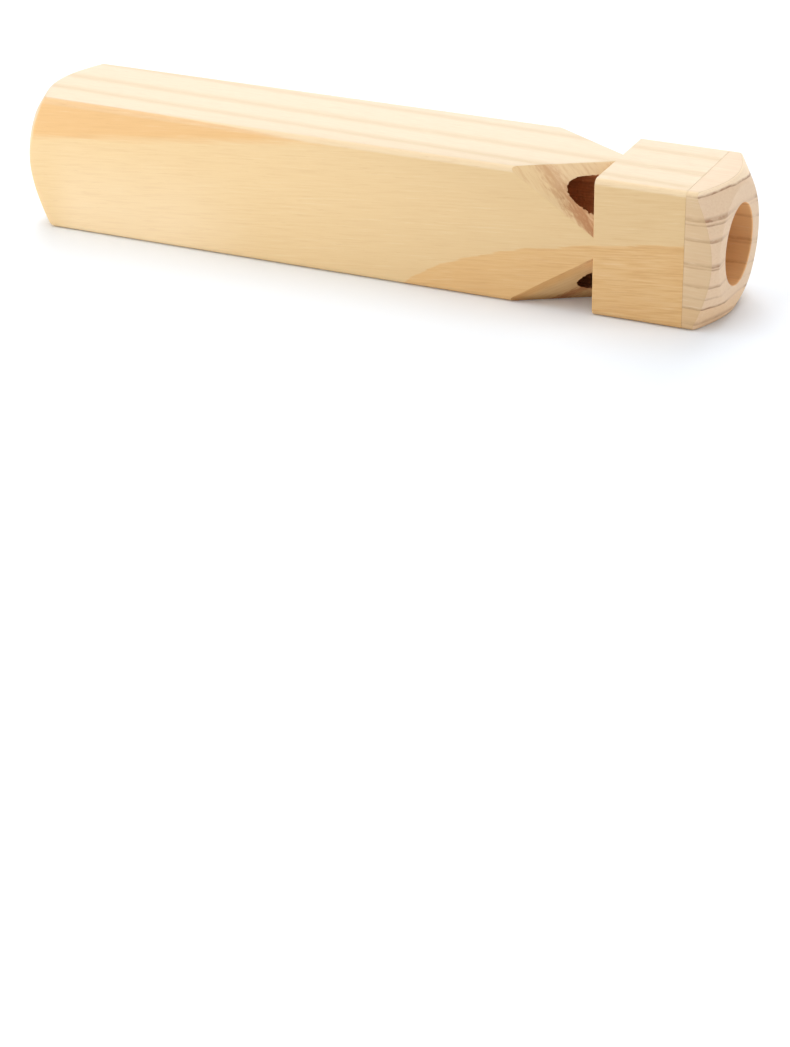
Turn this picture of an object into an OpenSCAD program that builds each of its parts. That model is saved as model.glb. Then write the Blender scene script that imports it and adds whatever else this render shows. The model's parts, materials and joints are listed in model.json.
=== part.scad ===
// Four-note wooden train whistle, lying on one side with its mouthpiece towards +X.
// Four blind bores run into the block from a round pocket in its head end. A plug with a flat
// closes each bore down to a thin windway, and a corner notch opens the bore behind its plug.
// The origin is the middle of the underside.

/* [Bores and walls] */
// Diameter of the four bores
bore_d = 12.4; // [9:0.1:16]
// Wood between two bores, measured across the depth
web_depth = 4.4; // [3:0.1:9]
// Wood between two bores, measured across the height
web_height = 7.6; // [3:0.1:11]
// Wood between a bore and the front or back face
wall_depth = 3.2; // [1.6:0.1:5]
// Wood between a bore and the upper or lower face
wall_height = 2.8; // [1.6:0.1:5]
// How much nearer the axis the bore of the highest note lies, which makes its window smaller
high_inset = 1.3; // [0:0.1:2]
// Radius of the eased long edges
edge_round = 1.8; // [0.5:0.1:3]

/* [Chambers] */
// Sounding length behind the windway of the lowest note
low_chamber = 145; // [110:1:200]
// Sounding length behind the windway of the second note
second_chamber = 132; // [100:1:190]
// Sounding length behind the windway of the third note
third_chamber = 120; // [90:1:180]
// Sounding length behind the windway of the highest note
high_chamber = 108; // [80:1:170]
// Solid wood left between the longest chamber and the tail
tail_wall = 25.4; // [12:0.1:40]

/* [Head and notches] */
// Length of full section between the mouthpiece and the notches
head_length = 25; // [16:0.1:36]
// Length of each corner notch along its eased edge
notch_length = 23.1; // [16:0.1:34]
// Width of the bridge left between two notches where they are deepest
bridge_width = 6; // [3.5:0.1:9]

/* [Plugs and breath pocket] */
// Depth of the space between the mouthpiece and the plugs, which feeds the windways
plug_recess = 6; // [3:0.1:9]
// Diameter of the round pocket in the head end, which joins the four bores there
pocket_d = 25.4; // [18:0.1:29]
// Depth of the windway between a plug's flat and the bore
windway = 1.6; // [1:0.1:2.4]
// Gap all round a plug in its bore, filled by glue
plug_clearance = 0.1; // [0.05:0.01:0.2]

/* [Mouthpiece and turned ends] */
// Diameter of the blow hole
mouth_d = 21.7; // [17:0.1:28]
// Width of the flat ring around the blow hole
mouth_rim = 5.1; // [2:0.1:6]
// How far the mouthpiece's long edges stop short of its end
mouth_drop = 6.5; // [3:0.1:10]
// Length of the long edges left on the mouthpiece
mouth_edge = 2.6; // [1.5:0.1:20]
// Diameter of the flat on the tail
tail_flat_d = 31.8; // [20:0.1:36]
// How far the body's long edges stop short of the tail
tail_drop = 6.5; // [3:0.1:10]

/* [Hidden] */
$fn = 96;
overcut = 1;

// Each note has its corner, as signs along Y and Z, its chamber's length and its bore's inset
NOTES = [[-1, 1, low_chamber, 0], [1, 1, second_chamber, 0],
         [1, -1, third_chamber, 0], [-1, -1, high_chamber, high_inset]];

block_depth = 2 * (bore_d + wall_depth) + web_depth;
block_height = 2 * (bore_d + wall_height) + web_height;
block_length = head_length + max([for (note = NOTES) note[2]]) + tail_wall;
mouth_length = mouth_drop + mouth_edge;
overall_length = block_length + mouth_length;

tail_x = -overall_length / 2;
seam_x = tail_x + block_length;
mouth_x = seam_x + mouth_length;
shoulder_x = seam_x - head_length;
axis_z = block_height / 2;

// Distance from the axis to the crest of an eased long edge
crest_r = norm([block_depth / 2 - edge_round, block_height / 2 - edge_round]) + edge_round;
mouth_flat_r = mouth_d / 2 + mouth_rim;

// A notch's floor leans towards its corner: its lean, and its height above the axis at the
// shoulder and where it runs out on the eased edge
notch_y = (block_depth - bridge_width) / 2;
notch_z = (block_height - bridge_width) / 2;
notch_lean = atan2(notch_y, notch_z);
notch_floor = (block_depth * cos(notch_lean) + bridge_width * sin(notch_lean)) / 2;
notch_crest = (block_depth / 2 - edge_round) * cos(notch_lean)
    + (block_height / 2 - edge_round) * sin(notch_lean) + edge_round;

// Distance of a note's bore from the axis, across the depth and across the height
function bore_offset(note) = [(bore_d + web_depth) / 2 - note[3] * cos(notch_lean),
                              (bore_d + web_height) / 2 - note[3] * sin(notch_lean)];

// Outline of the block's section, with its corners eased
module section() {
    square([block_depth, block_height - 2 * edge_round], center = true);
    square([block_depth - 2 * edge_round, block_height], center = true);
    for (y = [-1, 1], z = [-1, 1])
        translate([y * (block_depth / 2 - edge_round), z * (block_height / 2 - edge_round)])
            circle(r = edge_round);
}

// A length of the squared block from x, running towards +X
module squared(x, length) {
    translate([x, 0, axis_z]) rotate([90, 0, 90]) linear_extrude(length) section();
}

// A round rod from x, running towards +X at a distance from the axis
module rod(x, d, length, offset = [0, 0]) {
    translate([x, offset[0], offset[1]]) rotate([0, 90, 0]) cylinder(d = d, h = length);
}

// The space inside a turned end: a flat circle, then a cone out past the long edges
module turned(length, flat_r, drop) {
    slope = drop / (crest_r - flat_r);
    outer_r = crest_r + overcut;
    end = length + crest_r;
    rotate_extrude()
        polygon([[0, 0], [flat_r, 0], [outer_r, drop + slope * overcut], [outer_r, end], [0, end]]);
}

// Puts a shape that points out of the section on the corner of a note
module at_corner(note) {
    mirror([0, note[0] < 0 ? 1 : 0, 0])
        translate([0, 0, axis_z]) mirror([0, 0, note[1] < 0 ? 1 : 0]) children();
}

// A notch: square shoulder towards the mouthpiece, slanting floor towards the tail
module notch() {
    rise = notch_crest - notch_floor;
    top = notch_crest + edge_round;
    run = notch_length * (top - notch_floor) / rise;
    rotate([notch_lean, 0, 0])
        translate([shoulder_x, 0, 0])
            linear_extrude(block_depth + block_height, center = true)
                polygon([[0, notch_floor], [0, top], [-run, top]]);
}

module whistle_body() {
    color("BlanchedAlmond")
    difference() {
        intersection() {
            squared(tail_x, block_length);
            translate([tail_x, 0, axis_z]) rotate([0, 90, 0])
                turned(block_length, tail_flat_d / 2, tail_drop);
        }
        for (note = NOTES) at_corner(note) {
            rod(shoulder_x - note[2], bore_d, note[2] + head_length + overcut, bore_offset(note));
            notch();
        }
        translate([0, 0, axis_z]) rod(seam_x - plug_recess, pocket_d, plug_recess + overcut);
    }
}

module mouthpiece_cap() {
    color("NavajoWhite")
    difference() {
        intersection() {
            squared(seam_x, mouth_length);
            translate([mouth_x, 0, axis_z]) rotate([0, -90, 0])
                turned(mouth_length, mouth_flat_r, mouth_drop);
        }
        translate([0, 0, axis_z]) rod(seam_x - overcut, mouth_d, mouth_length + 2 * overcut);
    }
}

// A plug in the head end of a note's bore, with its flat towards the note's corner
module fipple_plug(note) {
    length = head_length - plug_recess;
    offset = bore_offset(note);
    color("BurlyWood")
    at_corner(note)
    difference() {
        rod(shoulder_x, bore_d - 2 * plug_clearance, length, offset);
        translate([shoulder_x - overcut, offset[0], offset[1]]) rotate([notch_lean, 0, 0])
            translate([0, bore_d / 2 - windway, -bore_d])
                cube([length + 2 * overcut, bore_d, 2 * bore_d]);
    }
}

module low_note_plug() { fipple_plug(NOTES[0]); }
module second_note_plug() { fipple_plug(NOTES[1]); }
module third_note_plug() { fipple_plug(NOTES[2]); }
module high_note_plug() { fipple_plug(NOTES[3]); }

whistle_body();
mouthpiece_cap();
low_note_plug();
second_note_plug();
third_note_plug();
high_note_plug();
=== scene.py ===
import json
import math

import bmesh
import bpy
from mathutils import Matrix, Vector, noise


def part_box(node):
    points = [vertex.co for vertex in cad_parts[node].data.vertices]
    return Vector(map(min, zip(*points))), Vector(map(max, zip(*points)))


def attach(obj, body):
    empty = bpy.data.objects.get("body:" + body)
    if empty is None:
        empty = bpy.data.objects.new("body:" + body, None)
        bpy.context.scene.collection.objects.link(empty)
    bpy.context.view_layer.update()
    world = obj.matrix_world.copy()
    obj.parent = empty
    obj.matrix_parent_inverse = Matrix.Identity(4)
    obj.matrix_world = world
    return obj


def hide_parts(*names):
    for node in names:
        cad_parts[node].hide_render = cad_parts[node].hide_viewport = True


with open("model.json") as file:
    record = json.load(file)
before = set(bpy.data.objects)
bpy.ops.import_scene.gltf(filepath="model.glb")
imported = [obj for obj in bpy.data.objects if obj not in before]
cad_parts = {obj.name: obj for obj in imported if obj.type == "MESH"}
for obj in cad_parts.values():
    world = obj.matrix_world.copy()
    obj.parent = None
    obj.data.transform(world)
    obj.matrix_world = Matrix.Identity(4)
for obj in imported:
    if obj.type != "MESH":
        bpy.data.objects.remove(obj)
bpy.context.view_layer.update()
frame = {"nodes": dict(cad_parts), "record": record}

MM = 0.001

# Places on the whistle, from the frame
body_low, body_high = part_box("whistle_body")
_, cap_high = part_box("mouthpiece_cap")
plug_low, plug_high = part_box("low_note_plug")
mounts = {mount["name"]: mount for mount in frame["record"]["mounts"]}
TAIL_X, SEAM_X, MOUTH_X = body_low.x, body_high.x, cap_high.x
SHOULDER_X, PLUG_END_X = plug_low.x, plug_high.x
HALF_DEPTH = body_high.y
HALF_HEIGHT = (body_high.z - body_low.z) / 2
AXIS = Vector((0, 0, body_low.z + HALF_HEIGHT))
MOUTH_R = mounts["mouth_bore"]["dims"]["r_mm"] * MM

# Sizes of the woodwork
EDGE_ROUND = 1.8 * MM
TAIL_FLAT_R, TAIL_DROP = 15.9 * MM, 6.5 * MM
MOUTH_FLAT_R, MOUTH_DROP = 15.95 * MM, 6.5 * MM
BORE_R = 6.2 * MM
POCKET_R = 12.7 * MM
WALL_DEPTH, WALL_HEIGHT = 3.2 * MM, 2.8 * MM
HIGH_INSET = 1.3 * MM
BRIDGE = 6 * MM
NOTCH_LENGTH = 23.1 * MM
OVERCUT = 1 * MM

# Each note's corner, as signs along Y and Z, its chamber's length and how far its bore lies in
NOTES = {
    "low_note": (-1, 1, 145 * MM, 0),
    "second_note": (1, 1, 132 * MM, 0),
    "third_note": (1, -1, 120 * MM, 0),
    "high_note": (-1, -1, 108 * MM, HIGH_INSET),
}

# A notch's floor leans towards its corner and rises towards the tail
CREST_R = math.hypot(HALF_DEPTH - EDGE_ROUND, HALF_HEIGHT - EDGE_ROUND) + EDGE_ROUND
LEAN = math.atan2(HALF_DEPTH - BRIDGE / 2, HALF_HEIGHT - BRIDGE / 2)
NOTCH_FLOOR = HALF_DEPTH * math.cos(LEAN) + BRIDGE / 2 * math.sin(LEAN)
NOTCH_CREST = ((HALF_DEPTH - EDGE_ROUND) * math.cos(LEAN)
               + (HALF_HEIGHT - EDGE_ROUND) * math.sin(LEAN) + EDGE_ROUND)
NOTCH_RISE = (NOTCH_CREST - NOTCH_FLOOR) / NOTCH_LENGTH


def corner_axes(side_y, side_z):
    """The directions out of a corner's notch and along its floor, both square to the whistle."""
    out = Vector((0, side_y * math.cos(LEAN), side_z * math.sin(LEAN)))
    along = Vector((0, -side_y * math.sin(LEAN), side_z * math.cos(LEAN)))
    return out, along


def bore_centre(note):
    """Where a note's bore lies in the section."""
    side_y, side_z, _, inset = NOTES[note]
    out, _ = corner_axes(side_y, side_z)
    across = side_y * (HALF_DEPTH - WALL_DEPTH - BORE_R)
    up = side_z * (HALF_HEIGHT - WALL_HEIGHT - BORE_R)
    return AXIS + Vector((0, across, up)) - inset * out


# Material nodes, and the limits of a noise that dark and pale flecks go by
BUMP_STRENGTH = 0.6
HIGH_NOISE, LOW_NOISE = (0.45, 0.75), (0.45, 0.25)


def tint(red, green, blue):
    """A linear colour from the 0 to 255 values that a screen shows."""
    parts = [value / 255 for value in (red, green, blue)]
    return [p / 12.92 if p <= 0.04045 else ((p + 0.055) / 1.055) ** 2.4 for p in parts] + [1.0]


def add_node(tree, kind, inputs=None, **settings):
    """Adds a node. An input that is a socket is linked, and any other value is set."""
    made = tree.nodes.new("ShaderNode" + kind)
    for name, value in settings.items():
        setattr(made, name, value)
    for name, value in (inputs or {}).items():
        if isinstance(value, bpy.types.NodeSocket):
            tree.links.new(value, made.inputs[name])
        else:
            made.inputs[name].default_value = value
    return made


def maths(tree, operation, *values):
    """The result of one calculation on sockets or numbers."""
    return add_node(tree, "Math", dict(enumerate(values)), operation=operation).outputs[0]


def millimetres(tree):
    """The place on the piece in millimetres, as a vector and as its three parts."""
    place = add_node(tree, "TexCoord").outputs["Object"]
    scaled = add_node(tree, "Mapping", {"Vector": place, "Scale": (1 / MM, 1 / MM, 1 / MM)}).outputs[0]
    parts = add_node(tree, "SeparateXYZ", {0: scaled})
    return scaled, parts.outputs[0], parts.outputs[1], parts.outputs[2]


def streaks(tree, place, per_mm, detail=4.0, rough=0.6, shift=0.0):
    """Noise stretched by its own frequency along each axis, from 0 to 1."""
    offset = (shift, shift, shift)
    stretched = add_node(tree, "Mapping", {"Vector": place, "Scale": per_mm, "Location": offset})
    values = {"Vector": stretched.outputs[0], "Scale": 1.0, "Detail": detail, "Roughness": rough}
    return add_node(tree, "TexNoise", values).outputs[0]


def waver(tree, value, width):
    """A noise from 0 to 1 as a shift of the given width, half of it each way."""
    return maths(tree, "MULTIPLY_ADD", value, width, -width / 2)


def fade(tree, value, start, end, low=0.0, high=1.0):
    """A smooth step between two limits."""
    values = {"Value": value, "From Min": start, "From Max": end, "To Min": low, "To Max": high}
    return add_node(tree, "MapRange", values, interpolation_type="SMOOTHSTEP").outputs[0]


def blend(tree, share, first, second, mode="MIX"):
    """Two colours mixed by a share. The node's colours are its inputs 6 and 7 and its output 2."""
    values = {0: share, 6: first, 7: second}
    return add_node(tree, "Mix", values, data_type="RGBA", blend_type=mode).outputs[2]


def flecked(tree, colour, tone, value, limits, share):
    """A colour with up to a share of another tone, where a noise goes from one limit to the other."""
    return blend(tree, fade(tree, value, *limits, high=share), colour, tone)


def ring_lines(tree, distance, lines):
    """Growth rings as (place, darkness, rise, fall). Each darkens over its rise and ends over its fall."""
    shade = 0.0
    for line, dark, rise, fall in lines:
        before = fade(tree, distance, line - rise, line, 0.0, dark)
        after = fade(tree, distance, line + fall, line)
        shade = maths(tree, "MAXIMUM", shade, maths(tree, "MULTIPLY", before, after))
    return shade


def wood_material(name, colour_of, rough, gloss, bump):
    """A bare sanded wood: colour_of builds its colour and its fine relief, which is bump deep."""
    material = bpy.data.materials.new(name)
    material.use_nodes = True
    tree = material.node_tree
    shader = tree.nodes["Principled BSDF"]
    colour, relief = colour_of(tree)
    tree.links.new(colour, shader.inputs["Base Color"])
    raised = add_node(tree, "Bump", {"Height": relief, "Strength": BUMP_STRENGTH, "Distance": bump})
    tree.links.new(raised.outputs[0], shader.inputs["Normal"])
    shader.inputs["Roughness"].default_value = rough
    shader.inputs["Specular IOR Level"].default_value = gloss
    return material


# Places in the wood, in millimetres
BACK_Y, TOP_Z = HALF_DEPTH / MM, 2 * HALF_HEIGHT / MM
FRONT_Y, AXIS_Z = -BACK_Y, AXIS.z / MM
POCKET_X, EASED = PLUG_END_X / MM, EDGE_ROUND / MM

# Wood of the block: ring planes stand across Y and lean, and two of them graze the front face
# The top tone is painted light: the top is less yellow, as its bright light washes it out.
INNER_PINE, TOP_LIT_PINE = tint(225, 199, 163), tint(220, 199, 167)
# The front darkens from tail to head: partly the wood's tone, partly painted light falling off away from
# the tail.
TAIL_PINE, HEAD_PINE = tint(241, 208, 155), tint(226, 192, 140)
# The edge tone is a painted highlight on the rounded top edges.
PALE_PINE, EDGE_HIGHLIGHT_PINE = tint(249, 220, 174), tint(241, 214, 172)
BACK_TAIL_PINE, BACK_HEAD_PINE = tint(224, 195, 150), tint(218, 182, 134)
STRAND_DARK, STRAND_PALE = tint(198, 138, 78), tint(240, 208, 160)
FIBRE_DARK, FIBRE_PALE, DASH_DARK = tint(205, 152, 96), tint(252, 232, 194), tint(190, 132, 78)
LATE_TINT = (0.90, 0.85, 0.735, 1.0)
TAIL_BAND_TINT = (0.97, 0.825, 0.67, 1.0)
HEAD_BAND_TINT = (0.98, 0.86, 0.705, 1.0)
BLOCK_RINGS = ((-10.4, 0.95, 2.2, 3.2), (-0.3, 0.95, 2.4, 3.6), (12.5, 0.95, 2.2, 2.8))
RING_SLOPE, RING_LEAN, GRAIN_RISE = 0.04, 0.24, 0.1
TAIL_BAND_CLIMB, TAIL_BAND_HEIGHT, TAIL_BAND_SINK = 0.12, 37.9, 5.4
HEAD_BAND_START, HEAD_BAND_RISE, HEAD_BAND_LEAST = 13.2, 12.0, 2.0

# Where the block's tones give way to each other, from the first limit to the second
FRONT_FADE, BACK_FADE = (-45, 108), (-60, 95)
FRONT_SKIN, BACK_SKIN = (FRONT_Y + 5, FRONT_Y + 0.5), (BACK_Y - 5, BACK_Y - 0.5)
TOP_SKIN, RING_SKIN = (TOP_Z - 1.6, TOP_Z - 0.2), (BACK_Y - 0.1, BACK_Y - 1.5)
EDGE_ACROSS, EDGE_UP = (BACK_Y - EASED, BACK_Y - EASED / 2), (TOP_Z - EASED, TOP_Z - EASED / 2)
PALE_TAIL, PALE_HEAD, PALE_UP = (-97, -86), (-25, -60), (32, 2)
TAIL_BAND_EDGE, HEAD_BAND_EDGE = (-1.2, 1.8), (-0.25, 0.4)
HEAD_BAND_SKIN = (FRONT_Y + 3.5, FRONT_Y + 1)
TAN_COARSE, HEAD_COARSE = (45, 78), (50, 78)


def block_rings(tree, place, x, y, z):
    """Distance across the block's growth rings, in millimetres."""
    sway = waver(tree, streaks(tree, place, (0.012, 0.05, 0.05), detail=2.0), width=1.2)
    slope = maths(tree, "MULTIPLY_ADD", x, RING_SLOPE, sway)
    lean = maths(tree, "MULTIPLY_ADD", z, -RING_LEAN, RING_LEAN * TOP_Z)
    return maths(tree, "ADD", y, maths(tree, "ADD", slope, lean))


def along_grain(tree, x, y, z):
    """A place that stays the same along a fibre but for its x."""
    across = maths(tree, "MULTIPLY_ADD", x, RING_SLOPE, y)
    up = maths(tree, "MULTIPLY_ADD", x, -GRAIN_RISE, z)
    return add_node(tree, "CombineXYZ", {0: x, 1: across, 2: up}).outputs[0]


def tail_band(tree, place, x, y, z):
    """The orange ring on the front near the tail, above a line that climbs along the block."""
    line = maths(tree, "MULTIPLY_ADD", x, TAIL_BAND_CLIMB, TAIL_BAND_HEIGHT)
    above = maths(tree, "SUBTRACT", z, line)
    depth = maths(tree, "MULTIPLY", maths(tree, "SUBTRACT", y, FRONT_Y), TAIL_BAND_SINK)
    ragged = waver(tree, streaks(tree, place, (0.03, 0.5, 0.5)), width=4.0)
    return fade(tree, maths(tree, "ADD", maths(tree, "SUBTRACT", above, depth), ragged), *TAIL_BAND_EDGE)


def head_band(tree, place, x, y, z):
    """The tan ring on the front near the head, below a line that bends over along the block."""
    along = maths(tree, "MULTIPLY", maths(tree, "MAXIMUM", x, HEAD_BAND_LEAST), 1 / HEAD_BAND_START)
    reach = maths(tree, "LOGARITHM", along, math.e)
    below = maths(tree, "SUBTRACT", maths(tree, "MULTIPLY", reach, HEAD_BAND_RISE), z)
    ragged = waver(tree, streaks(tree, place, (0.07, 0.55, 0.55)), width=2.8)
    edge = fade(tree, maths(tree, "ADD", below, ragged), *HEAD_BAND_EDGE)
    return maths(tree, "MULTIPLY", edge, fade(tree, y, *HEAD_BAND_SKIN))


def painted_edge_highlight(tree, y, z):
    """How far a place lies on the rounded edges at the top, which are painted paler as a highlight."""
    across = fade(tree, maths(tree, "ABSOLUTE", y), *EDGE_ACROSS)
    return maths(tree, "MULTIPLY", across, fade(tree, z, *EDGE_UP))


def pine_tone(tree, x, y, z):
    """The pine's tone, which differs from face to face and along the block. Painted light is in it: the
    top is washed out, the front darkens from tail to head partly as light falling off, and the rounded top
    edges carry a painted highlight.
    """
    # Partly painted light: the front darkens from tail to head as its light falls off.
    front = blend(tree, fade(tree, x, *FRONT_FADE), TAIL_PINE, HEAD_PINE)
    pale = maths(tree, "MULTIPLY", fade(tree, x, *PALE_TAIL), fade(tree, x, *PALE_HEAD))
    front = blend(tree, maths(tree, "MULTIPLY", pale, fade(tree, z, *PALE_UP)), front, PALE_PINE)
    back = blend(tree, fade(tree, x, *BACK_FADE), BACK_TAIL_PINE, BACK_HEAD_PINE)
    tone = blend(tree, fade(tree, y, *FRONT_SKIN), INNER_PINE, front)
    tone = blend(tree, fade(tree, y, *BACK_SKIN), tone, back)
    # Painted light: the top face takes the washed-out top tone.
    tone = blend(tree, fade(tree, z, *TOP_SKIN), tone, TOP_LIT_PINE)
    # Painted highlight on the rounded top edges.
    return blend(tree, painted_edge_highlight(tree, y, z), tone, EDGE_HIGHLIGHT_PINE)


def head_strands(tree, colour, grain, x, tan):
    """Dark and pale strands, coarsest in the tan ring and fainter over the rest of the head."""
    strand = streaks(tree, grain, (0.05, 2.1, 2.1), detail=3.0, shift=11.0)
    coarse = maths(tree, "MULTIPLY", tan, fade(tree, x, *TAN_COARSE, low=0.5, high=1.05))
    coarse = maths(tree, "MAXIMUM", coarse, fade(tree, x, *HEAD_COARSE, low=0.0, high=0.35))
    dark = maths(tree, "MULTIPLY", fade(tree, strand, 0.48, 0.68, high=0.32), coarse)
    pale = maths(tree, "MULTIPLY", fade(tree, strand, 0.54, 0.34, high=0.22), coarse)
    return blend(tree, pale, blend(tree, dark, colour, STRAND_DARK), STRAND_PALE)


def pine_colour(tree):
    """Pale pine with soft ring lines, two tan bands on the front and fine fibres."""
    place, x, y, z = millimetres(tree)
    colour = pine_tone(tree, x, y, z)
    rings = ring_lines(tree, block_rings(tree, place, x, y, z), BLOCK_RINGS)
    inner = fade(tree, maths(tree, "ABSOLUTE", y), *RING_SKIN)
    colour = blend(tree, maths(tree, "MULTIPLY", rings, inner), colour, LATE_TINT, "MULTIPLY")
    colour = blend(tree, tail_band(tree, place, x, y, z), colour, TAIL_BAND_TINT, "MULTIPLY")
    tan = head_band(tree, place, x, y, z)
    colour = blend(tree, tan, colour, HEAD_BAND_TINT, "MULTIPLY")
    grain = along_grain(tree, x, y, z)
    colour = head_strands(tree, colour, grain, x, tan)
    fibre = streaks(tree, grain, (0.03, 2.0, 2.0), detail=6.0, rough=0.62)
    colour = flecked(tree, colour, FIBRE_DARK, fibre, HIGH_NOISE, share=0.16)
    colour = flecked(tree, colour, FIBRE_PALE, fibre, LOW_NOISE, share=0.2)
    dash = streaks(tree, grain, (0.11, 4.2, 4.2), detail=2.0, rough=0.5, shift=7.0)
    colour = flecked(tree, colour, DASH_DARK, dash, (0.64, 0.76), share=0.16)
    return colour, maths(tree, "ADD", fibre, dash)


# Cuts in the block: slanting notch floors, and bores whose walls are painted browner than the pine, as the
# shade inside them
CUT_OUTER, CUT_INNER = tint(233, 201, 152), tint(239, 208, 163)
CUT_LATE, CUT_DARK, CUT_PALE = tint(190, 129, 84), tint(200, 142, 94), tint(244, 214, 172)
# The under tint is painted shade on the lower notches, which face the floor.
UNDER_SHADE_TINT, FOOT_SHADE_TINT = (0.855, 0.76, 0.61, 1.0), (0.72, 0.62, 0.52, 1.0)
CUT_RINGS = ((-10.8, 0.6, 2.2, 2.6), (0.7, 0.6, 1.4, 3.0), (13.5, 0.6, 1.4, 3.0))
CUT_TURN, CUT_DEEPER, UNDER_SHADE_FADE, FOOT_SHADE_FADE = (-13.0, -9.5), (36, 28), (17, 9), (3, 0.3)
# The bore tones are painted shade: browner than the pine, as the inside of a bore looks in its shade.
BORE_SHADED_PALE, BORE_SHADED_BROWN = tint(234, 164, 108), tint(202, 130, 80)
POCKET_PALE, POCKET_BROWN = tint(226, 180, 130), tint(206, 154, 104)
# The low bore tint is painted shade: the lower bores are darker still.
LOW_BORE_SHADE_TINT, LOW_BORE_SHADE_FADE = (0.7, 0.75, 0.9, 1.0), (19, 9)


def notch_colour(tree):
    """A notch's slanting cut: pale outside the ring that grazes the front, and streaked inside it. The
    lower notches are painted darker as shade, and darker still by the floor as a painted contact shadow.
    """
    place, x, y, z = millimetres(tree)
    across = block_rings(tree, place, x, y, z)
    along = add_node(tree, "CombineXYZ", {0: x, 1: across, 2: z}).outputs[0]
    fibre = streaks(tree, along, (0.14, 1.8, 0.14), detail=5.0, rough=0.65)
    tufts = streaks(tree, along, (0.45, 2.4, 0.45), detail=3.0, shift=5.0)
    ragged = maths(tree, "ADD", across, waver(tree, tufts, width=5.0))
    colour = blend(tree, fade(tree, ragged, *CUT_TURN), CUT_OUTER, CUT_INNER)
    rings = ring_lines(tree, ragged, CUT_RINGS)
    rings = maths(tree, "MULTIPLY", rings, fade(tree, z, *CUT_DEEPER, low=0.75, high=1.35))
    colour = blend(tree, rings, colour, CUT_LATE)
    colour = flecked(tree, colour, CUT_DARK, fibre, HIGH_NOISE, share=0.35)
    colour = flecked(tree, colour, CUT_PALE, fibre, LOW_NOISE, share=0.3)
    colour = blend(tree, head_band(tree, place, x, y, z), colour, HEAD_BAND_TINT, "MULTIPLY")
    # Painted shade: the lower notches, which face down, are darker.
    colour = blend(tree, fade(tree, z, *UNDER_SHADE_FADE), colour, UNDER_SHADE_TINT, "MULTIPLY")
    # Painted contact shadow: the cut is darker close to the floor.
    colour = blend(tree, fade(tree, z, *FOOT_SHADE_FADE), colour, FOOT_SHADE_TINT, "MULTIPLY")
    pores = streaks(tree, place, (1.2, 5.0, 5.0), detail=3.0, shift=3.0)
    return colour, maths(tree, "ADD", fibre, pores)


def bore_colour(tree):
    """The drilled wall of a bore, painted browner as the shade inside it and darker still in the lower
    bores, and the paler breath pocket.
    """
    place, x, _, z = millimetres(tree)
    turns = streaks(tree, place, (2.2, 0.35, 0.35))
    fibre = streaks(tree, place, (0.05, 1.4, 1.4))
    colour = blend(tree, fade(tree, fibre, 0.3, 0.7), BORE_SHADED_PALE, BORE_SHADED_BROWN)
    pocket = blend(tree, turns, POCKET_PALE, POCKET_BROWN)
    colour = blend(tree, fade(tree, x, POCKET_X - 1, POCKET_X), colour, pocket)
    # Painted shade: the lower bores are darker.
    colour = blend(tree, fade(tree, z, *LOW_BORE_SHADE_FADE), colour, LOW_BORE_SHADE_TINT, "MULTIPLY")
    return colour, maths(tree, "ADD", turns, fibre)


# Wood of the mouthpiece: ring planes lie across Z and bend down towards the back
CAP_RINGS = ((-17.0, 0.5, 0.5, 1.6), (-12.6, 1.0, 0.25, 0.8), (-9.7, 0.35, 0.3, 0.8),
             (-6.4, 0.85, 0.35, 1.0), (-1.2, 0.7, 0.3, 0.7), (-0.4, 0.85, 0.3, 1.3),
             (6.2, 0.85, 0.35, 1.2), (10.4, 0.75, 0.3, 0.7), (11.5, 0.95, 0.35, 1.5),
             (17.8, 1.0, 0.25, 0.7))
CAP_BEND, CAP_BEND_Y = 0.0048, -12.0
# The mouthpiece's top tone is painted light, washed out as by its bright light.
CAP_SIDE_PINE, CAP_TOP_LIT_PINE, CAP_SIDE_LATE = tint(221, 189, 147), tint(220, 194, 161), tint(168, 120, 80)
# The high end tone is a painted highlight: the top of the turned end is paler.
CAP_END_PINE, CAP_END_HIGHLIGHT_PINE = tint(233, 202, 168), tint(253, 228, 194)
FLAT_LATE, CONE_LATE = tint(180, 134, 100), tint(156, 106, 74)
# The throat tones are painted shade and warm bounced light: browner and more orange than the pine inside
# the blow hole.
THROAT_SHADED_PINE, THROAT_SHADED_LATE = tint(246, 191, 129), tint(192, 118, 66)
CAP_DARK, CAP_PALE = tint(206, 158, 116), tint(248, 224, 196)
LOW_CAP_TINT = (1.0, 0.95, 0.86, 1.0)
CAP_LOW, CAP_HIGH, CAP_CONE = (-12.2, -13.0), (17.6, 18.3), (13.8, 16.6)


def cap_rings(tree, place, y, z):
    """Distance across the mouthpiece's growth rings, level at the front and bent down at the back."""
    sway = waver(tree, streaks(tree, place, (0.12, 0.12, 0.12), detail=2.0), width=0.9)
    back = maths(tree, "MAXIMUM", maths(tree, "SUBTRACT", y, CAP_BEND_Y), 0.0)
    bend = maths(tree, "MULTIPLY", maths(tree, "MULTIPLY", back, back), CAP_BEND)
    up = maths(tree, "SUBTRACT", z, AXIS_Z)
    return maths(tree, "ADD", maths(tree, "ADD", up, bend), sway)


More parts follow.
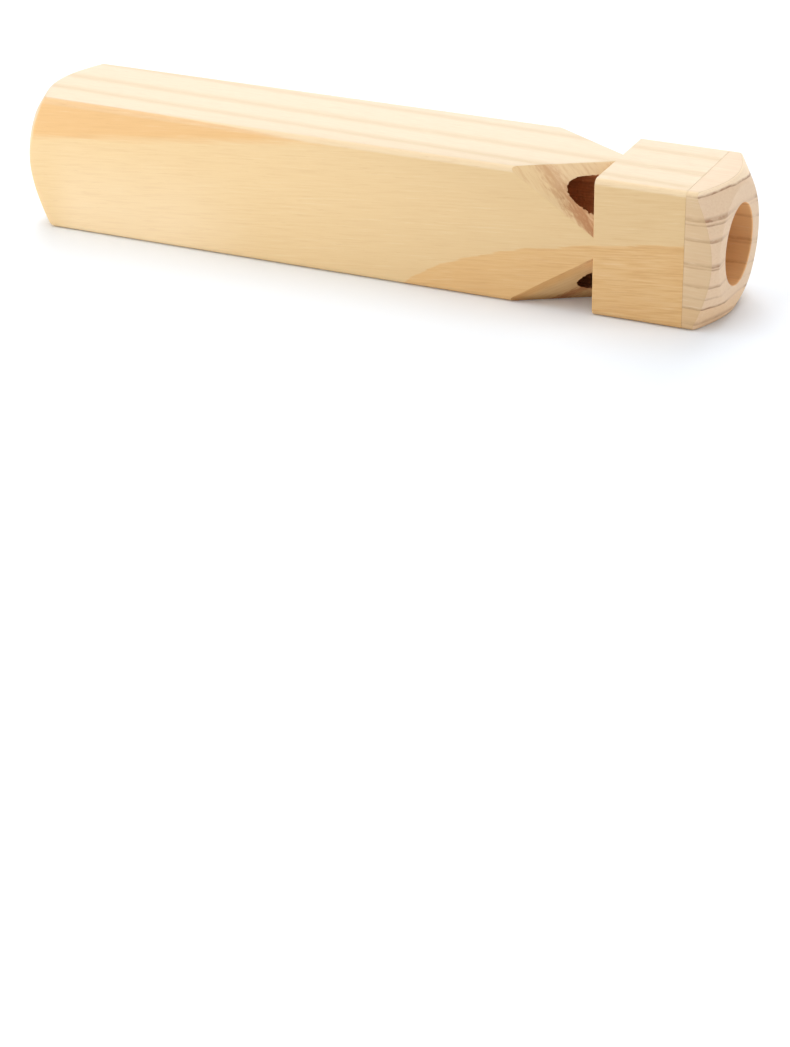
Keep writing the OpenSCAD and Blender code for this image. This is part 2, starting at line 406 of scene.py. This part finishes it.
def cap_colour(tree, pale, dark, strength):
    """A cut through the mouthpiece: its pale wood, its ring lines and how strong they show."""
    place, _, y, z = millimetres(tree)
    across = cap_rings(tree, place, y, z)
    colour = blend(tree, fade(tree, across, *CAP_LOW), pale, LOW_CAP_TINT, "MULTIPLY")
    wear = streaks(tree, place, (0.35, 0.35, 0.9), detail=3.0, shift=2.0)
    worn = fade(tree, wear, 0.3, 0.65, low=0.45)
    rings = maths(tree, "MULTIPLY", ring_lines(tree, across, CAP_RINGS), worn)
    colour = blend(tree, maths(tree, "MULTIPLY", rings, strength), colour, dark)
    fibre = streaks(tree, place, (0.12, 1.4, 1.8), detail=5.0, rough=0.62)
    colour = flecked(tree, colour, CAP_DARK, fibre, (0.42, 0.75), share=0.2)
    colour = flecked(tree, colour, CAP_PALE, fibre, LOW_NOISE, share=0.25)
    return colour, fibre


def cap_side_colour(tree):
    """The mouthpiece's four sides."""
    _, _, y, z = millimetres(tree)
    # Painted light: the top is washed out, paler and less yellow.
    pale = blend(tree, fade(tree, z, *TOP_SKIN), CAP_SIDE_PINE, CAP_TOP_LIT_PINE)
    # Painted highlight on the rounded top edges.
    pale = blend(tree, painted_edge_highlight(tree, y, z), pale, EDGE_HIGHLIGHT_PINE)
    return cap_colour(tree, pale, CAP_SIDE_LATE, strength=0.55)


def cap_end_colour(tree):
    """The turned end, whose ring lines fade out on the flat around the blow hole, and whose top is painted
    paler as a highlight.
    """
    place, _, y, z = millimetres(tree)
    # Painted highlight: paler at the top of the end.
    pale = blend(tree, fade(tree, cap_rings(tree, place, y, z), *CAP_HIGH), CAP_END_PINE, CAP_END_HIGHLIGHT_PINE)
    up = maths(tree, "SUBTRACT", z, AXIS_Z)
    from_axis = maths(tree, "SQRT", maths(tree, "MULTIPLY_ADD", y, y, maths(tree, "MULTIPLY", up, up)))
    dark = blend(tree, fade(tree, from_axis, *CAP_CONE), FLAT_LATE, CONE_LATE)
    return cap_colour(tree, pale, dark, strength=fade(tree, from_axis, *CAP_CONE, low=0.3, high=0.95))


def cap_throat_colour(tree):
    """The wall of the blow hole, painted browner and more orange as the shade and warm bounced light
    inside it.
    """
    return cap_colour(tree, THROAT_SHADED_PINE, THROAT_SHADED_LATE, strength=0.6)


# Plugs and ink
PLUG_PALE, PLUG_BROWN, PLUG_LATE = tint(214, 168, 118), tint(176, 128, 82), tint(158, 106, 64)
INK_DARK, INK_WORN = tint(44, 34, 44), tint(110, 84, 70)


def plug_colour(tree):
    """A turned dowel of plain brown wood."""
    place = millimetres(tree)[0]
    fibre = streaks(tree, place, (0.06, 1.2, 1.2))
    year = streaks(tree, place, (0.01, 0.9, 0.12), detail=2.0, rough=0.5, shift=4.0)
    colour = blend(tree, fibre, PLUG_PALE, PLUG_BROWN)
    return flecked(tree, colour, PLUG_LATE, year, (0.5, 0.62), share=0.6), fibre


def ink_colour(tree):
    """Dark stamping ink, a little worn along the grain."""
    wear = streaks(tree, millimetres(tree)[0], (0.1, 2.5, 2.5))
    return flecked(tree, INK_DARK, INK_WORN, wear, (0.55, 0.8), share=0.25), wear


PINE = wood_material("sanded_pine", pine_colour, rough=0.48, gloss=0.4, bump=0.05 * MM)
NOTCH_GRAIN = wood_material("notch_end_grain", notch_colour, rough=0.7, gloss=0.25, bump=0.1 * MM)
BORE_WALL = wood_material("drilled_bore", bore_colour, rough=0.7, gloss=0.2, bump=0.1 * MM)
INK = wood_material("stamping_ink", ink_colour, rough=0.6, gloss=0.3, bump=0.02 * MM)
CAP_SIDE = wood_material("mouthpiece_side", cap_side_colour, rough=0.5, gloss=0.4, bump=0.05 * MM)
CAP_END = wood_material("mouthpiece_end", cap_end_colour, rough=0.55, gloss=0.3, bump=0.05 * MM)
CAP_THROAT = wood_material("mouthpiece_throat", cap_throat_colour, rough=0.6, gloss=0.3, bump=0.05 * MM)
PLUG_WOOD = wood_material("plug_dowel", plug_colour, rough=0.6, gloss=0.3, bump=0.06 * MM)


# Woodwork: the angles over which an edge is sharp, no longer level or sanded, and steps in the outlines
SHARP, LEVEL, SANDED = math.radians(14), math.radians(0.1), math.radians(20)
CORNER_STEPS, SIDE_CUTS, BORE_STEPS = 8, 32, 128

# Eased edges, as a width and a count of steps
TAIL_EASE, MOUTH_EASE = (0.5 * MM, 4), (0.6 * MM, 5)
SEAM_EASE, RIM_EASE, CUT_EASE = (0.15 * MM, 2), (0.4 * MM, 3), (0.3 * MM, 2)


def add_piece(mesh, name, replaced):
    """Puts a finished mesh on the whistle."""
    piece = bpy.data.objects.new(name, mesh)
    bpy.context.collection.objects.link(piece)
    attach(piece, "root")
    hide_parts(*replaced)


def smooth(mesh):
    """Shades a mesh smooth but for its sharp edges."""
    mesh.shade_smooth()
    mesh.set_sharp_from_angle(angle=SHARP)


def to_mesh(bm, name, materials):
    """Turns a bmesh into a smooth mesh."""
    mesh = bpy.data.meshes.new(name)
    bm.to_mesh(mesh)
    bm.free()
    for material in materials:
        mesh.materials.append(material)
    smooth(mesh)
    return mesh


def section_ring(bm, x):
    """The rounded outline of the block at x, as a ring of edges."""
    upright = Matrix(((0, 0, 1, x), (HALF_DEPTH, 0, 0, 0), (0, HALF_HEIGHT, 0, AXIS.z), (0, 0, 0, 1)))
    bmesh.ops.create_grid(bm, x_segments=1, y_segments=1, size=1, matrix=upright)
    bmesh.ops.bevel(bm, geom=bm.verts[:], offset=EDGE_ROUND, offset_type="OFFSET", segments=CORNER_STEPS,
                    profile=0.5, affect="VERTICES", material=-1)
    flats = [e for e in bm.edges if e.calc_length() > 2 * EDGE_ROUND]
    bmesh.ops.subdivide_edges(bm, edges=flats, cuts=SIDE_CUTS)
    bmesh.ops.delete(bm, geom=bm.faces[:], context="FACES_ONLY")
    return bm.edges[:]


def next_ring(bm, ring, place, wood=0):
    """Draws a ring of edges out to a new ring, with each vertex moved to place(vertex)."""
    made = bmesh.ops.extrude_edge_only(bm, edges=ring)["geom"]
    verts = {g for g in made if isinstance(g, bmesh.types.BMVert)}
    for vert in verts:
        vert.co = place(vert.co)
    for face in [g for g in made if isinstance(g, bmesh.types.BMFace)]:
        face.material_index = wood
    return [g for g in made if isinstance(g, bmesh.types.BMEdge) and verts.issuperset(g.verts)]


def off_axis(point):
    """The part of a point that leads away from the whistle's axis."""
    return Vector((0, point.y, point.z - AXIS.z))


def turned_edge(end_x, flat_r, drop, inwards, upright=1.0):
    """Where an end's turned cone cuts the block's outline. Under 1, upright spares top and bottom."""
    def place(point):
        outwards = off_axis(point)
        reach = math.hypot(outwards.y, outwards.z * upright)
        depth = drop * (reach - flat_r) / (CREST_R - flat_r)
        return Vector((end_x + inwards * depth, point.y, point.z))
    return place


def on_circle(x, radius):
    """The same direction from the axis, at a radius."""
    def place(point):
        return Vector((x, 0, AXIS.z)) + off_axis(point).normalized() * radius
    return place


DOME_SHARES = (0.35, 0.6, 0.75, 0.85, 0.92, 0.97, 1.0)
DOME_SOFT = 0.12


def dome(share):
    """What is left of an end's drop at a share of the way from its edge to its flat."""
    return (math.hypot(1 - share, DOME_SOFT) - DOME_SOFT) / (math.hypot(1, DOME_SOFT) - DOME_SOFT)


def domed_end(bm, edge, end_x, flat_r, wood=0):
    """Draws the edge of a turned end in to its flat, rounding over on the way."""
    ring, done = edge, 0.0
    for share in DOME_SHARES:
        inwards, deeper = (1 - share) / (1 - done), dome(share) / dome(done)

        def place(point):
            outwards = off_axis(point)
            reach = flat_r + (outwards.length - flat_r) * inwards
            return Vector((end_x + (point.x - end_x) * deeper, 0, AXIS.z)) + outwards.normalized() * reach

        ring, done = next_ring(bm, ring, place, wood), share
    return ring


def ease(bm, edges, width, steps, sliding=True):
    """Rounds edges. Sliding runs along the edges that meet them, and without it none overlaps another."""
    bmesh.ops.bevel(bm, geom=edges, offset=width, offset_type="OFFSET", segments=steps, profile=0.5,
                    affect="EDGES", material=-1, loop_slide=sliding, clamp_overlap=not sliding)


def face_out(bm):
    """Turns every face of a solid outwards."""
    bmesh.ops.recalc_face_normals(bm, faces=bm.faces)


def plain_block():
    """The block with its turned tail, before any notch or bore."""
    bm = bmesh.new()
    head = section_ring(bm, SEAM_X)
    edge = next_ring(bm, head, turned_edge(TAIL_X, TAIL_FLAT_R, TAIL_DROP, 1))
    flat = domed_end(bm, edge, TAIL_X, TAIL_FLAT_R)
    bmesh.ops.contextual_create(bm, geom=head)
    bmesh.ops.contextual_create(bm, geom=flat)
    ease(bm, edge, *TAIL_EASE)
    face_out(bm)
    level = [e for e in bm.edges if e.calc_face_angle() < LEVEL]
    bmesh.ops.dissolve_edges(bm, edges=level, use_verts=False)
    return to_mesh(bm, "whistle_block", [PINE])


def push(bm, faces, way):
    """Makes solids of flat faces, by pushing a copy of them along a way."""
    swept = bmesh.ops.extrude_face_region(bm, geom=faces)["geom"]
    bmesh.ops.translate(bm, verts=[g for g in swept if isinstance(g, bmesh.types.BMVert)], vec=way)


def notch_cutter(note):
    """A wedge with a square shoulder and a slanting floor."""
    side_y, side_z, _, _ = NOTES[note]
    out, along = corner_axes(side_y, side_z)
    top = NOTCH_CREST + EDGE_ROUND
    run = (top - NOTCH_FLOOR) / NOTCH_RISE
    half_width = HALF_DEPTH + HALF_HEIGHT
    bm = bmesh.new()
    profile = ((SHOULDER_X, NOTCH_FLOOR), (SHOULDER_X, top), (SHOULDER_X - run, top))
    start = AXIS - half_width * along
    side = bm.faces.new([bm.verts.new(start + Vector((x, 0, 0)) + height * out) for x, height in profile])
    push(bm, [side], 2 * half_width * along)
    face_out(bm)
    return to_mesh(bm, f"{note}_notch", [NOTCH_GRAIN])


# Windows of the bores: the length that has fine rings, and how rough and how torn the lips are
WINDOW_RUN, WINDOW_STEPS = 11 * MM, 44
LIP_RAGGED, LIP_TORN, LIP_TORN_RUN = 0.16 * MM, 0.8 * MM, 5 * MM
LIP_GRAIN = 0.55 * MM


def torn_lip(point, centre):
    """A bore's wall under its window, roughened more and more towards the shoulder."""
    to_shoulder = SHOULDER_X - point.x
    torn = max(0.0, 1 - to_shoulder / LIP_TORN_RUN)
    rough = noise.noise(point / LIP_GRAIN) * (LIP_RAGGED + LIP_TORN * torn)
    outwards = Vector((0, point.y - centre.y, point.z - centre.z)).normalized()
    return point + rough * outwards


def drill(name, centre, radius, stations):
    """A round cutter along the whistle, with a ring at each station."""
    bm = bmesh.new()
    start = Matrix.Translation((stations[0], centre.y, centre.z)) @ Matrix.Rotation(math.pi / 2, 4, "Y")
    bmesh.ops.create_circle(bm, cap_ends=True, segments=BORE_STEPS, radius=radius, matrix=start)
    ring = bm.edges[:]
    for x in stations[1:]:
        ring = next_ring(bm, ring, lambda point: Vector((x, point.y, point.z)))
    bmesh.ops.contextual_create(bm, geom=ring)
    half_step = WINDOW_RUN / WINDOW_STEPS / 2
    for vert in bm.verts:
        if SHOULDER_X - WINDOW_RUN < vert.co.x < SHOULDER_X - half_step:
            vert.co = torn_lip(vert.co, centre)
    walls = [f for f in bm.faces if len(f.verts) == 4]
    bmesh.ops.triangulate(bm, faces=walls)
    face_out(bm)
    return to_mesh(bm, name, [BORE_WALL])


def carved(block, cutters):
    """The block's mesh with every cutter taken out of it."""
    holder = bpy.data.objects.new("carving", block)
    bpy.context.collection.objects.link(holder)
    tools = []
    for cutter in cutters:
        tool = bpy.data.objects.new(cutter.name, cutter)
        bpy.context.collection.objects.link(tool)
        cut = holder.modifiers.new(cutter.name, "BOOLEAN")
        cut.operation = "DIFFERENCE"
        cut.solver = "EXACT"
        cut.material_mode = "TRANSFER"
        cut.object = tool
        tools.append(tool)
    graph = bpy.context.evaluated_depsgraph_get()
    result = bpy.data.meshes.new_from_object(holder.evaluated_get(graph), depsgraph=graph)
    for used in [holder] + tools:
        bpy.data.objects.remove(used)
    return result


# Printed design on the back, in millimetres along the length and up. A frame line has an outer and an
# inner edge, each as its inset and its cut corner.
STAMP_DEPTH = 0.04 * MM
STAMP_LOW, STAMP_HIGH = Vector((-82, 7)), Vector((36, 31))
STAMP_Z = 19
FRAME_LINES = (((0, 4), (0.6, 3.75)), ((1.6, 3.34), (1.9, 3.22)))
WAVE_X, WAVE_RADII, WAVE_WIDTH = 12, (5, 8.5, 12), 1.4
WAVE_START, WAVE_STEP, WAVE_POINTS = -42, 3.5, 25
PIPE_END_X, PIPE_TOP_Z, PIPE_SPAN, PIPE_HALF, PIPE_SCALE = 6, 27, 16, 1.5, 0.4
DIAMOND_XS, DIAMOND_HALF_LENGTH, DIAMOND_HALF_HEIGHT = (-58, -66, -74), 3, 5


def octagon(inset, corner):
    """A line of the frame at an inset, with its corners cut."""
    left, foot = STAMP_LOW + Vector((inset, inset))
    right, top = STAMP_HIGH - Vector((inset, inset))
    return [(left + corner, foot), (right - corner, foot), (right, foot + corner), (right, top - corner),
            (right - corner, top), (left + corner, top), (left, top - corner), (left, foot + corner)]


def arc(radius):
    """Part of a circle that bulges towards the mouthpiece."""
    turns = [math.radians(WAVE_START + WAVE_STEP * step) for step in range(WAVE_POINTS)]
    return [(WAVE_X + radius * math.cos(turn), STAMP_Z + radius * math.sin(turn)) for turn in turns]


def stamped(name, shapes):
    """A cutter that sinks flat shapes into the back by the depth of the print."""
    bm = bmesh.new()

    def on_back(row):
        return [bm.verts.new((x * MM, HALF_DEPTH + OVERCUT, z * MM)) for x, z in row]

    for first_row, second_row, closed in shapes:
        first, second = on_back(first_row), on_back(second_row)
        for i in range(0 if closed else 1, len(first)):
            bm.faces.new((first[i - 1], first[i], second[i], second[i - 1]))
    push(bm, bm.faces[:], Vector((0, -OVERCUT - STAMP_DEPTH, 0)))
    return to_mesh(bm, name, [INK])


def stamps():
    """The printed design: a double frame, four pipes, sound waves and diamonds."""
    frame_lines = [(octagon(*outer), octagon(*inner), True) for outer, inner in FRAME_LINES]
    motifs = [(arc(radius + WAVE_WIDTH), arc(radius), False) for radius in WAVE_RADII]
    for row, (_, _, chamber, _) in enumerate(NOTES.values()):
        z = PIPE_TOP_Z - row * PIPE_SPAN / (len(NOTES) - 1)
        left, foot, top = PIPE_END_X - PIPE_SCALE * chamber / MM, z - PIPE_HALF, z + PIPE_HALF
        motifs.append((((left, foot), (PIPE_END_X, foot)), ((left, top), (PIPE_END_X, top)), False))
    for x in DIAMOND_XS:
        left, right = (x - DIAMOND_HALF_LENGTH, STAMP_Z), (x + DIAMOND_HALF_LENGTH, STAMP_Z)
        foot, top = (x, STAMP_Z - DIAMOND_HALF_HEIGHT), (x, STAMP_Z + DIAMOND_HALF_HEIGHT)
        motifs.append(((left, foot), (top, right), False))
    return [stamped("printed_frame", frame_lines), stamped("printed_motifs", motifs)]


def ease_cuts(mesh):
    """Eases the long edges of the notches, as sanding leaves them."""
    woods = [material.name for material in mesh.materials]
    cut = {woods.index(PINE.name), woods.index(NOTCH_GRAIN.name)}
    bm = bmesh.new()
    bm.from_mesh(mesh)
    sharp = [e for e in bm.edges if {f.material_index for f in e.link_faces} == cut
             and e.calc_face_angle_signed() > SANDED]
    ease(bm, sharp, *CUT_EASE, sliding=False)
    bm.to_mesh(mesh)
    bm.free()


def whistle_body():
    """The block with its notches, bores, breath pocket and printed design."""
    cutters = [notch_cutter(note) for note in NOTES]
    window = [SHOULDER_X - WINDOW_RUN * (1 - step / WINDOW_STEPS) for step in range(WINDOW_STEPS + 1)]
    for note, (_, _, chamber, _) in NOTES.items():
        stations = [SHOULDER_X - chamber] + window + [SEAM_X + OVERCUT]
        cutters.append(drill(f"{note}_bore", bore_centre(note), BORE_R, stations))
    cutters.append(drill("breath_pocket", AXIS, POCKET_R, [PLUG_END_X, SEAM_X + OVERCUT]))
    cutters += stamps()
    mesh = carved(plain_block(), cutters)
    mesh.name = "pine_block"
    ease_cuts(mesh)
    smooth(mesh)
    add_piece(mesh, "pine_block", ["whistle_body"])


def mouthpiece_cap():
    """The mouthpiece: a turned end with a blow hole."""
    bm = bmesh.new()
    side, end, inside = range(3)
    seam = section_ring(bm, SEAM_X)
    upright = HALF_DEPTH / HALF_HEIGHT
    edge = next_ring(bm, seam, turned_edge(MOUTH_X, MOUTH_FLAT_R, MOUTH_DROP, -1, upright), side)
    flat = domed_end(bm, edge, MOUTH_X, MOUTH_FLAT_R, end)
    rim = next_ring(bm, flat, on_circle(MOUTH_X, MOUTH_R), end)
    throat = next_ring(bm, rim, on_circle(SEAM_X, MOUTH_R), inside)
    bmesh.ops.bridge_loops(bm, edges=seam + throat)
    ease(bm, seam, *SEAM_EASE)
    ease(bm, [e for e in rim if e.is_valid], *RIM_EASE)
    ease(bm, [e for e in edge if e.is_valid], *MOUTH_EASE)
    face_out(bm)
    mesh = to_mesh(bm, "turned_mouthpiece", [CAP_SIDE, CAP_END, CAP_THROAT])
    add_piece(mesh, "turned_mouthpiece", ["mouthpiece_cap"])


whistle_body()
mouthpiece_cap()
for note in NOTES:
    plug = frame["nodes"][f"{note}_plug"]
    plug.data.materials.clear()
    plug.data.materials.append(PLUG_WOOD)


# Studio: a white room with soft boxes, each as its place in metres, its width and its power
FLOOR_SIZE = 16.0
PAPER_COLOUR, PAPER_ROUGH, PAPER_GLOSS = (0.91, 0.95, 0.995, 1.0), 0.9, 0.1
ROOM_COLOUR, ROOM_STRENGTH = (0.97, 0.99, 1.03, 1.0), 0.32
SOFT_BOXES = {
    "overhead_box": ((-0.3, 0.3, 3.6), 3.6, 63),
    "back_box": ((-1.2, 3.3, 1.8), 3.0, 74),
    "high_back_box": ((-0.6, 2.2, 3.0), 2.5, 23),
    "front_box": ((-0.24, -0.47, 0.26), 0.4, 1.15),
    "left_box": ((-2.5, -0.7, 1.2), 1.5, 16.5),
    "right_box": ((3.6, 0.3, 1.5), 1.8, 34.5),
}
CAMERA_PLACE = Vector((330.1, -713.8, 308.9)) * MM
CAMERA_TURN, CAMERA_TILT, CAMERA_ROLL = math.radians(24.64), math.radians(63.52), math.radians(-0.48)
CAMERA_LENS = 104.76
CAMERA_NEAR, CAMERA_FAR = 0.01, 50


def studio_floor():
    """A plain white sweep under the whistle."""
    bm = bmesh.new()
    bmesh.ops.create_grid(bm, x_segments=1, y_segments=1, size=FLOOR_SIZE / 2)
    mesh = bpy.data.meshes.new("studio_floor")
    bm.to_mesh(mesh)
    bm.free()
    material = bpy.data.materials.new("white_paper")
    material.use_nodes = True
    shader = material.node_tree.nodes["Principled BSDF"]
    shader.inputs["Base Color"].default_value = PAPER_COLOUR
    shader.inputs["Roughness"].default_value = PAPER_ROUGH
    shader.inputs["Specular IOR Level"].default_value = PAPER_GLOSS
    mesh.materials.append(material)
    floor = bpy.data.objects.new("studio_floor", mesh)
    bpy.context.collection.objects.link(floor)


def soft_light(name, place, size, power):
    """A square soft box that faces the whistle."""
    light = bpy.data.lights.new(name, "AREA")
    light.size = size
    light.energy = power
    lamp = bpy.data.objects.new(name, light)
    lamp.location = place
    lamp.rotation_euler = (AXIS - Vector(place)).to_track_quat("-Z", "Y").to_euler()
    bpy.context.collection.objects.link(lamp)


def studio_light():
    """The white room and its soft boxes."""
    scene = bpy.context.scene
    scene.view_settings.view_transform = "Standard"
    scene.world = bpy.data.worlds.new("white_room")
    scene.world.use_nodes = True
    room = scene.world.node_tree.nodes["Background"]
    room.inputs["Color"].default_value = ROOM_COLOUR
    room.inputs["Strength"].default_value = ROOM_STRENGTH
    for name, (place, size, power) in SOFT_BOXES.items():
        soft_light(name, place, size, power)


def photo_camera():
    """The camera at the photograph's place."""
    data = bpy.data.cameras.new("photo_camera")
    data.lens = CAMERA_LENS
    data.clip_start = CAMERA_NEAR
    data.clip_end = CAMERA_FAR
    camera = bpy.data.objects.new("photo_camera", data)
    camera.matrix_world = (Matrix.Translation(CAMERA_PLACE) @ Matrix.Rotation(CAMERA_TURN, 4, "Z")
                           @ Matrix.Rotation(CAMERA_TILT, 4, "X") @ Matrix.Rotation(CAMERA_ROLL, 4, "Z"))
    bpy.context.collection.objects.link(camera)
    bpy.context.scene.camera = camera


studio_floor()
studio_light()
photo_camera()
